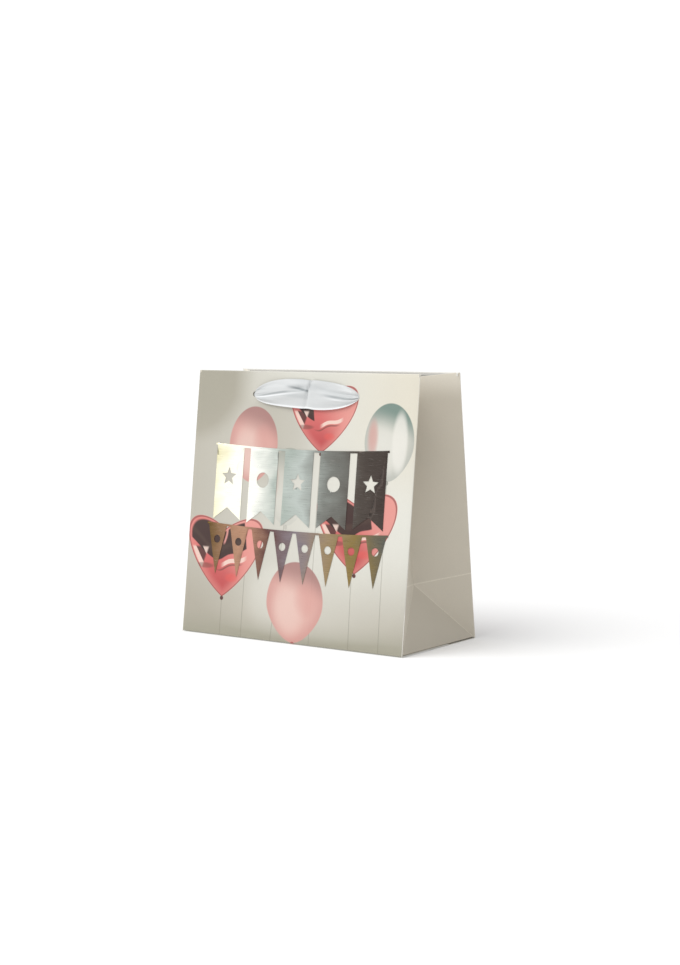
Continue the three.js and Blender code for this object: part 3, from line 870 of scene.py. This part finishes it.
@dataclass
class PaperBody:
    """Panels, gussets and bottom of the folded paper."""

    finishes: Finishes
    swell: PaperSwell = PaperSwell()
    corner_radius: float = 0.8 * MM
    corner_turn: float = 1.2
    fold_radius: float = 1.1 * MM
    gusset_fold_radius: float = 0.55 * MM
    hole_radius: float = 2.5 * MM
    hem_depth: float = 35 * MM
    hem_inset: float = 8 * MM
    gusset_inset: float = 0.45 * MM
    folded_gusset_behind: float = 0.8 * MM
    folded_gusset_share: float = 0.006
    folded_web_above: float = 0.58 * MM
    folded_web_share: float = 0.011
    foot_bow: float = -0.2 * MM
    web_bow: float = 0.4 * MM

    def across_stations(self, half: float, columns: int) -> list[Station]:
        """Stations across a panel, both side edges rounded."""
        right = turned_edge(half, self.corner_radius, self.corner_turn)
        left = [(-x, out) for x, out in reversed(right)]
        inner = [(x, 0.0) for x in spread(-half + self.corner_radius, half - self.corner_radius, columns)]
        return left[:-1] + inner + right[1:]

    def up_stations(self, start: float, end: float, rows: int, top_radius: float | None) -> list[Station]:
        """Stations up a panel, its top turned in over the hem where it has one."""
        if top_radius is None:
            return [(s, 0.0) for s in spread(start, end, rows)]
        fold = turned_edge(end, top_radius, pi / 2, 5)
        over = [(s, -2 * top_radius - out) for s, out in reversed(fold[:-1])]
        tail = (end - top_radius - 2 * MM, -2 * top_radius)
        straight = [(s, 0.0) for s in spread(start, end - top_radius, rows)]
        return straight + fold[1:] + over + [tail]

    def panel(self, name: str, wall: Wall, start: float, end: float, top_radius: float | None) -> Piece:
        """One printed panel with rounded side edges.

        Args:
            name: the piece's name.
            wall: the wall it lies on.
            start: its lower edge along the paper.
            end: its upper edge.
            top_radius: radius of the fold over the hem, or None for a plain edge.

        Returns:
            The thickened sheet.
        """
        across = self.across_stations(SHAPE.width / 2, 44)
        up = self.up_stations(start, end, max(6, round(44 * (end - start) / SHAPE.height)), top_radius)

        def place(u: float, v: float) -> Vector:
            x, turn = pick(across, u)
            s, over = pick(up, v)
            out = self.swell.on_wall(wall, x, s) if turn == 0 and over == 0 else 0.0
            if top_radius is not None and over < -1.2 * top_radius:
                inner = SHAPE.width / 2 - 1.6 * MM
                x, turn = max(-inner, min(inner, x)), 0.0
            return wall.point(x, s, out + turn + over)

        piece = grid_piece(name, len(across) - 1, len(up) - 1, place)
        if top_radius is not None:
            for face in piece.data.polygons:
                face.material_index = int((face.center - wall.origin).dot(wall.outward) < -0.6 * top_radius)
        thicken(piece, SHAPE.paper, (self.finishes.printed, self.finishes.white))
        return piece

    def punch(self, piece: Piece, wall: Wall, spots: Sequence[float], height: float) -> None:
        """Punches round holes through a sheet at the ribbon holes' places."""
        for x in spots:
            punch = added(
                "cylinder", radius=self.hole_radius, depth=8 * MM, vertices=32,
                location=wall.point(x, height), rotation=wall.outward.to_track_quat("Z", "Y").to_euler(),
            )
            apply_modifier(piece, "BOOLEAN", operation="DIFFERENCE", solver="EXACT", object=punch)
            bpy.data.objects.remove(punch)

    def hem(self, name: str, surface: Wall | Gusset, span: Station, top: float, out: float) -> Piece:
        """The turned-in white leaf along a wall's top.

        Args:
            name: the piece's name.
            surface: the wall or gusset it lies behind.
            span: its two ends across.
            top: height of its upper edge on that surface.
            out: how far its visible face lies behind the wall's.

        Returns:
            The leaf.
        """
        mirrored = isinstance(surface, Gusset) and surface.outward_sign < 0

        def place(u: float, v: float) -> Vector:
            x = span[0] + (span[1] - span[0]) * (u if mirrored else 1 - u)
            s = top - self.hem_depth * (1 - v)
            lift = 0.25 * MM * (1 - v) * (0.5 + noise.noise(Vector((x * 30, s * 30, out))))
            return surface.point(x, s, out - lift)

        piece = grid_piece(name, 24, 8, place)
        thicken(piece, SHAPE.paper, (self.finishes.white,))
        return piece

    def build_panels(self) -> None:
        """Front panel, back panel, back foot and their hems."""
        lip = SHAPE.panel_hinge / cos(SHAPE.lean)
        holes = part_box("front_ribbon")
        hole_x = (holes[1].x - holes[0].x) / 2 - 3 * MM
        hole_s = (holes[0].z + holes[1].z) / 2 / cos(SHAPE.lean)
        for side, label in ((-1, "front"), (1, "back")):
            wall = SHAPE.wall(side)
            if side > 0:
                foot = self.panel("back_foot_sheet", wall, lip, SHAPE.crease, None)
                settle(foot, "back_foot", "printed_paper", "back_panel_foot")
            start = lip if side < 0 else SHAPE.crease
            piece = self.panel(f"{label}_sheet", wall, start, SHAPE.height, self.fold_radius)
            self.punch(piece, wall, (-hole_x, hole_x), hole_s)
            settle(piece, label, "printed_paper", f"{label}_panel")
            half = SHAPE.width / 2 - self.hem_inset
            leaf_out = SHAPE.paper - 2 * self.fold_radius
            leaf_top = SHAPE.height - self.fold_radius
            leaf = self.hem(f"{label}_hem_leaf", wall, (-half, half), leaf_top, leaf_out)
            self.punch(leaf, wall, (-hole_x, hole_x), hole_s)
            settle(leaf, label, "white_paper", f"{label}_hem")
            dress(f"{label}_card", self.finishes.board)
            log.info("made the %s wall", label)
        dress("glue_flap", self.finishes.white)

    def gusset_half(self, hand: int, side: int) -> None:
        """Upper half of one gusset, with its top turned in over its hem."""
        label = f"{'right' if hand > 0 else 'left'}_gusset"
        end = "front" if side < 0 else "rear"
        body = "front" if side < 0 else "back"
        surface = SHAPE.gusset(hand, side)
        up = self.up_stations(0.0, surface.length, 36, self.gusset_fold_radius)
        across = spread(self.gusset_inset, surface.reach, 16)
        flipped = surface.outward_sign < 0

        def place(u: float, v: float) -> Vector:
            x = across[round((1 - u if flipped else u) * (len(across) - 1))]
            s, over = pick(up, v)
            flat = surface.point(x, s)
            out = self.swell.on_gusset(flat, x / surface.reach, s / surface.length) if over == 0 else over
            return surface.point(x, s, out)

        piece = grid_piece(f"{label}_{end}_sheet", len(across) - 1, len(up) - 1, place)
        thicken(piece, SHAPE.paper, (self.finishes.side, self.finishes.white))
        leaf = self.hem(
            f"{label}_{end}_hem_leaf", surface, (self.hem_inset, surface.reach - 0.6 * MM),
            surface.length - self.gusset_fold_radius, SHAPE.paper - 2 * self.gusset_fold_radius,
        )
        wall = SHAPE.wall(side)
        anchor = tuple(wall.point(0, SHAPE.crease, -self.folded_gusset_behind))
        for sheet, node, slot in (
            (piece, f"{label}_{end}", "side_paper"), (leaf, f"{label}_hem_{end}", "white_paper"),
        ):
            settle(sheet, body, slot, node)
            tuple(wall.outward)
            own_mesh(sheet)

    def triangle(self, name: str, tip: Vector, first: Vector, second: Vector, bow: float) -> Piece:
        """A creased triangle of side paper, its corners running round its outside counter-clockwise."""
        outward = (first - tip).cross(second - tip).normalized()

        def place(u: float, v: float) -> Vector:
            flat = tip.lerp(first, v).lerp(tip.lerp(second, v), u)
            return flat + outward * bow * sin(pi * u) * sin(pi * v)

        piece = grid_piece(name, 14, 14, lambda u, v: place(1 - u, v))
        weld(piece)
        thicken(piece, SHAPE.paper, (self.finishes.side, self.finishes.white))
        return piece

    def gusset_foot(self, hand: int) -> None:
        """The foot triangle and the two corner webs of one gusset."""
        label = "right" if hand > 0 else "left"
        apex = SHAPE.apex(hand)
        lift = SHAPE.foot_hinge / SHAPE.foot_rise
        corners = [SHAPE.edge(hand, side, 0.0) for side in (-1, 1)]
        low = [corner.lerp(apex, lift) for corner in corners]
        order = (low[0], low[1]) if hand > 0 else (low[1], low[0])
        foot = self.triangle(f"{label}_foot_sheet", apex, order[0], order[1], self.foot_bow)
        settle(foot, f"{label}_foot", "side_paper", f"{label}_gusset_foot")
        for side, end in ((-1, "front"), (1, "rear")):
            corner, knee = SHAPE.edge(hand, side, 0.0), SHAPE.edge(hand, side, SHAPE.crease)
            knee = knee + (apex - knee).normalized() * self.gusset_inset
            ends = (knee, apex) if hand * side > 0 else (apex, knee)
            web = self.triangle(f"{label}_web_{end}_sheet", corner, *ends, self.web_bow)
            settle(web, "base", "side_paper", f"{label}_web_{end}")
            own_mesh(web)

    def bottom_strip(self, name: str, side: int, level: float, reach: float) -> None:
        """A long bottom flap with its rounded fold and upturned lip."""
        wall = SHAPE.wall(side)
        radius = self.corner_radius
        across = self.across_stations(SHAPE.width / 2, 30)
        lip = SHAPE.panel_hinge / cos(SHAPE.lean)
        upright = [(s, 0.0) for s in spread(lip, level + radius, 3)]
        turn = [
            (level + radius * (1 - sin(a)), -radius * (1 - cos(a)))
            for a in spread(0, pi / 2, 6)
        ]
        under = [(level, -out) for out in spread(radius, reach, 12)]
        path = list(reversed(upright + turn[1:] + under[1:]))

        def place(u: float, v: float) -> Vector:
            x, edge_turn = pick(across, u)
            height, out = pick(path, v)
            side_turn = edge_turn if height > level + radius / 2 else 0.0
            point = wall.point(x, height, side_turn)
            return Vector((point.x, point.y - side * -out, height if out < -radius / 2 else point.z))

        piece = grid_piece(name, len(across) - 1, len(path) - 1, place)
        thicken(piece, SHAPE.paper, (self.finishes.printed, self.finishes.white))
        settle(piece, "base", "printed_paper", f"bottom_flap_{'front' if side < 0 else 'back'}")

    def side_strip(self, hand: int, level: float, reach: float) -> None:
        """A short bottom flap with the lip that the gusset's foot folds on."""
        label = "right" if hand > 0 else "left"
        lean = tan(SHAPE.foot_lean)
        radius = 0.5 * MM
        top = SHAPE.foot_hinge
        edge = SHAPE.width / 2
        upright = [(edge - z * lean, z) for z in spread(top, level + radius, 3)]
        corner = edge - (level + radius) * lean
        turn = [
            (corner - radius * (1 - cos(a)), level + radius * (1 - sin(a)))
            for a in spread(0, pi / 2, 5)
        ]
        under = [(x, level) for x in spread(corner - radius, edge - reach, 8)]
        path = list(reversed(upright + turn[1:] + under[1:]))
        half = SHAPE.depth / 2

        def place(u: float, v: float) -> Vector:
            x, z = pick(path, v)
            limit = half - 0.5 * MM - z * tan(SHAPE.lean)
            return Vector((hand * x, hand * limit * (2 * u - 1), z))

        piece = grid_piece(f"{label}_bottom_strip", 16, len(path) - 1, place)
        thicken(piece, SHAPE.paper, (self.finishes.side, self.finishes.white))
        settle(piece, "base", "side_paper", f"bottom_flap_{label}")

    def build(self) -> None:
        """Builds the whole paper body."""
        self.build_panels()
        for hand in (1, -1):
            for side in (-1, 1):
                self.gusset_half(hand, side)
            self.gusset_foot(hand)
            self.side_strip(hand, 1.4 * MM, 55 * MM)
        self.bottom_strip("front_bottom_strip", -1, 0.7 * MM, 75 * MM)
        self.bottom_strip("back_bottom_strip", 1, 0.0, 75 * MM)
        dress("base_board", self.finishes.board)
        log.info("made the gussets and the bottom")


@dataclass
class RibbonHandle:
    """One satin handle: two outside halves, two tails inside and a knot on each."""

    finishes: Finishes
    side: int
    width: float = 25 * MM
    thickness: float = 0.25 * MM
    rise: float = 14.0 * MM
    drop: float = 12.0 * MM
    puff: float = 3.2 * MM
    fold_x: float = 5.5 * MM
    left_loop: float = 0.9 * MM
    right_loop: float = 5.4 * MM
    curl: float = 0.9 * MM
    tail_length: float = 45 * MM
    tail_out: float = -2.9 * MM
    travel: float = 30 * MM
    label: str = field(init=False)

    def __post_init__(self) -> None:
        """Names the handle and finds its holes."""
        self.label = "front" if self.side < 0 else "back"
        low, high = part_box(f"{self.label}_ribbon")
        self.half = (high.x - low.x) / 2 - 3 * MM
        self.hole = (low.z + high.z) / 2 / cos(SHAPE.lean)
        self.wall = SHAPE.wall(self.side)

    def reach(self, hand: float) -> float:
        """How far the ribbon's loop goes past the middle on one hand."""
        return self.half + (self.right_loop if hand > 0 else self.left_loop)

    def edges(self, x: float) -> tuple[float, float]:
        """Lower and upper edge of the almond at x, measured from the holes' line."""
        t = min(1.0, abs(x) / self.reach(x))
        upper = self.rise * (1 - t**2.6) ** 0.6 + 0.7 * MM * sin(pi * t) * copysign(1, -x)
        lower = self.drop * (1 - t**2.9) ** 0.52
        nick = exp(-(((x - self.fold_x) / (5 * MM)) ** 2))
        sag = 0.09 * self.drop * sin(pi * x / self.reach(x))
        return -(lower - 0.05 * self.drop * nick + sag), upper - 0.03 * self.rise * nick

    def stand_off(self, x: float, v: float) -> float:
        """How far the ribbon stands off the panel at x and a share v of its width."""
        t = min(1.0, abs(x) / self.reach(x))
        crown = 1 - (2 * v - 1) ** 2
        hand = copysign(1, x)
        body = 0.4 * MM + self.puff * sqrt(max(0.0, 1 - t**4)) * (0.3 + 0.7 * crown)
        gather = max(0.0, (t - 0.25) / 0.75) ** 1.2
        squeeze = min(1.0, 1.6 * max(0.0, 1 - t**2.2) ** 0.5)
        pleats = 0.8 * MM * gather * squeeze * sin(2 * pi * (2.4 * v + 0.1 + 0.3 * hand))
        fine = 0.2 * MM * gather * squeeze * sin(2 * pi * (5.3 * v + 0.4))
        skew = self.fold_x + 4 * MM * (v - 0.5)
        crease = -1.9 * MM * exp(-(((x - skew) / (1.6 * MM)) ** 2)) * min(1.0, 0.35 + v)
        past = x + 5 * MM
        tuck = -2.6 * MM * exp(-((past / (8 * MM)) ** 2) - ((v - 0.66 - 4 * past) / 0.1) ** 2)
        swoosh = 1.6 * MM * exp(-(((v - 0.32 - 6 * (x + 30 * MM)) / 0.16) ** 2)) if x < 0 else 0.0
        swoosh *= exp(-(((x + 28 * MM) / (22 * MM)) ** 2))
        swell = 1.0 * MM * noise.noise(Vector((x * 38, v * 2.2, 3.0 + self.side)))
        hollow = -1.6 * MM * exp(-(((x - 26 * MM) / (16 * MM)) ** 2) - ((v - 0.74) / 0.18) ** 2)
        turn = self.curl * exp(-((v / 0.07) ** 2)) * (1 - t**6) - 0.6 * MM * max(0.0, (t - 0.93) / 0.07)
        return max(0.15 * MM, body + pleats + fine + crease + tuck + swoosh + swell + hollow + turn)

    def outside_half(self, hand: int) -> Piece:
        """The stretch from one hole to the middle fold."""
        name = f"{self.label}_ribbon_{'right' if hand * -self.side > 0 else 'left'}_half"
        start, end = (-self.reach(-1), self.fold_x) if hand < 0 else (self.fold_x, self.reach(1))

        def place(u: float, v: float) -> Vector:
            eased = 1 - (1 - u) ** 1.7 if hand > 0 else u**1.7
            x = start + (end - start) * eased
            low, high = self.edges(x)
            return self.wall.point(x, self.hole + low + (high - low) * v, self.stand_off(x, v))

        piece = grid_piece(name, 72, 48, place)
        if hand > 0:
            for corner in piece.data.uv_layers.active.data:
                corner.uv.x += 2.0
        thicken(piece, self.thickness, (self.finishes.satin,), 60.0, even=False)
        hole = self.wall.point(-self.half if hand < 0 else self.half, self.hole)
        middle = self.wall.point(self.fold_x, self.hole)
        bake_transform(piece)
        return piece

    def tail(self, hand: int, node: str) -> None:
        """The end of the ribbon inside the bag, from its hole down to its knot."""
        low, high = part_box(node.replace("tail", "knot"))
        knot_x = (low.x + high.x) / 2 * -self.side
        knot_top = self.wall_height(high.z)
        start_x = hand * self.half

        def place(u: float, v: float) -> Vector:
            s = self.hole + (knot_top - self.hole) * (1 - v)
            fall = 1 - v
            centre = start_x + (knot_x - start_x) * fall
            wide = (2.2 + 5.0 * sin(pi * min(1.0, 0.12 + 0.8 * fall))) * MM
            cross = (2 * u - 1) * wide
            pleat = 1.5 * MM * (1 + sin(2 * pi * (3.2 * u + 0.6 * fall)))
            near_hole = max(0.0, 1 - fall / 0.08) * 1.6 * MM
            return self.wall.point(centre + cross, s, self.tail_out - pleat + near_hole)

        piece = grid_piece(f"{node}_satin", 24, 40, place)
        thicken(piece, self.thickness, (self.finishes.satin,), 60.0, even=False)
        settle(piece, self.label, "satin_ribbon", node)
        anchor = tuple(self.wall.point(start_x, self.hole, self.tail_out))
        tuple(self.wall.up)
        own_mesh(piece)

    def wall_height(self, z: float) -> float:
        """Height along the paper of a point at height z."""
        return z / cos(SHAPE.lean)

    def knot(self, hand: int, node: str) -> None:
        """An overhand knot: two crossed loops of ribbon and a short cut end."""
        low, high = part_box(node)
        centre = self.wall.point(
            (low.x + high.x) / 2 * -self.side, self.wall_height((low.z + high.z) / 2), -3.3 * MM
        )
        turn = self.wall.outward.to_track_quat("Z", "Y").to_euler()
        parts = []
        for twist, wide, tall in ((0.5, 1.0, 0.8), (-0.6, 0.85, 1.0)):
            loop = added(
                "torus", major_radius=4.4 * MM, minor_radius=2.3 * MM, major_segments=40, minor_segments=20
            )
            loop.data.transform(self.loop_matrix(centre, turn, twist * hand, wide, tall))
            parts.append(loop)
        end = grid_piece("knot_end", 12, 14, lambda u, v: self.wall.point(
            self.wall.across.dot(centre - self.wall.origin) + (2 * u - 1) * (3 + 3 * (1 - v)) * MM,
            self.wall.up.dot(centre - self.wall.origin) - 12 * MM * (1 - v) + 1.5 * MM,
            -3.2 * MM - 0.6 * MM * sin(7 * u),
        ))
        thicken(end, self.thickness, (self.finishes.satin,), 60.0, even=False)
        for loop in parts:
            loop.data.materials.append(self.finishes.satin)
        lone_selection(parts[0])
        parts[1].select_set(True)
        end.select_set(True)
        bpy.ops.object.join()
        knot = bpy.context.object
        knot.name = f"{node}_satin"
        knot.data.name = knot.name
        smooth(knot, 60.0)
        settle(knot, f"{self.label}_knots", "satin_ribbon", node)

    @staticmethod
    def loop_matrix(centre: Vector, turn: object, twist: float, wide: float, tall: float) -> Matrix:
        """Where one loop of a knot goes: flattened, twisted and laid against the wall."""
        flat = Matrix.Diagonal((1.25 * wide, tall, 0.85, 1.0))
        tilt = Matrix.Rotation(twist, 4, "Z") @ Matrix.Rotation(twist * 0.35, 4, "X")
        return Matrix.Translation(centre) @ turn.to_matrix().to_4x4() @ tilt @ flat

    def build(self) -> None:
        """Builds the handle's pieces."""
        halves = [self.outside_half(hand) for hand in (-1, 1)]
        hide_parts(f"{self.label}_ribbon")
        for hand in (-1, 1):
            word = "right" if hand * -self.side > 0 else "left"
            self.tail(hand, f"{self.label}_tail_{word}")
            self.knot(hand, f"{self.label}_knot_{word}")
        log.info("made the %s ribbon", self.label)


@dataclass
class FoilStamping:
    """The foil garlands, laid on the swelling paper, and the back's own lower one above its crease."""

    finishes: Finishes
    swell: PaperSwell = PaperSwell()
    cut_every: float = 6 * MM
    lift: float = 0.12 * MM
    above_crease: float = 7 * MM

    def copy_of(self, node: str, name: str) -> Piece:
        """A merged copy of a CAD node's mesh as a piece of its own."""
        piece = bpy.data.objects.new(name, frame["nodes"][node].data.copy())
        piece.data.name = name
        bpy.context.scene.collection.objects.link(piece)
        weld(piece, 0.002 * MM)
        return piece

    def cut(self, piece: Piece, wall: Wall) -> None:
        """Cuts a flat piece across and along, so that it can follow the paper."""
        half, height = SHAPE.width / 2, SHAPE.height
        columns, rows = round(2 * half / self.cut_every), round(height / self.cut_every)
        planes = [(wall.point(x, 0), wall.across) for x in spread(-half, half, columns)]
        planes += [(wall.point(0, s), wall.up) for s in spread(0, height, rows)]
        lone_selection(piece)
        bpy.ops.object.mode_set(mode="EDIT")
        for at, normal in planes:
            bpy.ops.mesh.select_all(action="SELECT")
            bpy.ops.mesh.bisect(plane_co=at, plane_no=normal, threshold=1e-6)
        bpy.ops.object.mode_set(mode="OBJECT")

    def lay(self, piece: Piece, wall: Wall, material: Material, body: str, slot: str) -> None:
        """Cuts a foil piece, lays it on the paper and dresses it."""
        self.cut(piece, wall)
        for vertex in piece.data.vertices:
            off = vertex.co - wall.origin
            out = self.swell.on_wall(wall, off.dot(wall.across), off.dot(wall.up))
            vertex.co = vertex.co + wall.outward * (out + self.lift)
        piece.data.materials.clear()
        piece.data.materials.append(material)
        smooth(piece, 30.0)
        settle(piece, body, slot)

    def build(self) -> None:
        """Builds both faces' foil."""
        for side, label in ((-1, "front"), (1, "back")):
            piece = self.copy_of(f"{label}_foil_banners", f"{label}_banner_foil")
            self.lay(piece, SHAPE.wall(side), self.finishes.silver, label, "silver_foil")
            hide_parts(f"{label}_foil_banners")
        piece = self.copy_of("front_foil_pennants", "front_pennant_foil")
        self.lay(piece, SHAPE.wall(-1), self.finishes.copper, "front", "copper_foil")
        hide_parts("front_foil_pennants")
        low, high = (corner.z / cos(SHAPE.lean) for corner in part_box("front_foil_pennants"))
        floor = max(low, SHAPE.crease + self.above_crease)
        squeeze = (high - floor) / (high - low)
        piece = self.copy_of("front_foil_pennants", "back_pennant_foil")
        front, back = SHAPE.wall(-1), SHAPE.wall(1)
        for vertex in piece.data.vertices:
            off = vertex.co - front.origin
            s = floor + (off.dot(front.up) - low) * squeeze
            vertex.co = back.point(off.dot(front.across), s, off.dot(front.outward))
        self.lay(piece, back, self.finishes.copper, "back", "copper_foil")
        log.info("laid the foil; the lower row of the back is %.2f times as tall", squeeze)


@dataclass
class Studio:
    """Pale floor, soft light and the camera."""

    azimuth: float = 35.0
    elevation: float = 5.0
    distance: float = 1.659
    focal: float = 68.7
    aim_across: float = 0.0117
    aim_up: float = 0.0301
    aim_height: float = 0.108
    world_strength: float = 0.5
    sun_strength: float = 1.9
    sun_angle: float = 45.0
    floor_glow: float = 0.2
    card_power: float = 1.5
    card_place: tuple[float, float, float] = (-1.2, -1.16, 0.34)
    card_aim: tuple[float, float, float] = (-0.06, -0.05, 0.14)
    sun_toward: tuple[float, float, float] = (-0.30, -0.50, 0.81)
    seen_strength: float = 1.05

    @staticmethod
    def stand(data: bpy.types.ID, at: Vector, turn: object) -> Piece:
        """Puts a light or the camera in its place, turned as given."""
        piece = bpy.data.objects.new(data.name, data)
        piece.location = at
        piece.rotation_mode = "QUATERNION"
        piece.rotation_quaternion = turn
        bpy.context.scene.collection.objects.link(piece)
        return piece

    def camera(self) -> None:
        """Adds the camera."""
        a, e = radians(self.azimuth), radians(self.elevation)
        back = Vector((sin(a) * cos(e), -cos(a) * cos(e), sin(e)))
        right = Vector((cos(a), sin(a), 0))
        up = back.cross(right)
        target = Vector((0, 0, self.aim_height)) + right * self.aim_across + up * self.aim_up
        data = bpy.data.cameras.new("camera")
        data.lens = self.focal
        data.sensor_width = 36.0
        data.clip_start, data.clip_end = 0.05, 50.0
        turn = (-back).to_track_quat("-Z", "Y")
        bpy.context.scene.camera = self.stand(data, target + back * self.distance, turn)

    def lights(self) -> None:
        """A broad sun from the upper left in front, and an even white surround."""
        data = bpy.data.lights.new("key", "SUN")
        data.energy = self.sun_strength
        data.angle = radians(self.sun_angle)
        self.stand(data, Vector(), Vector(self.sun_toward).normalized().to_track_quat("Z", "Y"))
        card = bpy.data.lights.new("card", "AREA")
        card.shape = "RECTANGLE"
        card.size, card.size_y = 0.42, 0.8
        card.energy = self.card_power
        place = Vector(self.card_place)
        turn = (place - Vector(self.card_aim)).to_track_quat("Z", "Y")
        self.stand(card, place, turn).visible_camera = False
        world = bpy.data.worlds.new("surround")
        world.use_nodes = True
        bpy.context.scene.world = world
        nodes, links = world.node_tree.nodes, world.node_tree.links
        background = next(n for n in nodes if n.type == "BACKGROUND")
        seen = nodes.new("ShaderNodeLightPath").outputs["Is Camera Ray"]
        strength = nodes.new("ShaderNodeMapRange")
        strength.inputs["To Min"].default_value = self.world_strength
        strength.inputs["To Max"].default_value = self.seen_strength
        links.new(seen, strength.inputs["Value"])
        links.new(strength.outputs["Result"], background.inputs["Strength"])
        background.inputs["Color"].default_value = (1, 1, 1, 1)

    def floor(self) -> None:
        """A pale floor."""
        floor = added("plane", size=40)
        floor.name = "studio_floor"
        shader = Shader("studio_floor")
        shader.set(Base_Color=(0.86, 0.86, 0.86, 1), Roughness=0.9, Specular_IOR_Level=0.0)
        shader.set(Emission_Color=(1, 1, 1, 1), Emission_Strength=self.floor_glow)
        floor.data.materials.append(shader.material)

    def build(self) -> None:
        """Sets the stage."""
        self.camera()
        self.lights()
        self.floor()
        settings = bpy.context.scene.view_settings
        settings.view_transform = "Standard"
        settings.look = "None"
        log.info("set the stage")


def main() -> None:
    """Builds the bag, then writes the frame's box and the finished box."""
    logging.basicConfig(level=logging.INFO, format="%(name)s: %(message)s")
    Studio().build()
    finishes = Finishes.build()
    PaperBody(finishes).build()
    for side in (-1, 1):
        RibbonHandle(finishes, side).build()
    FoilStamping(finishes).build()


if __name__ == "__main__":
    main()
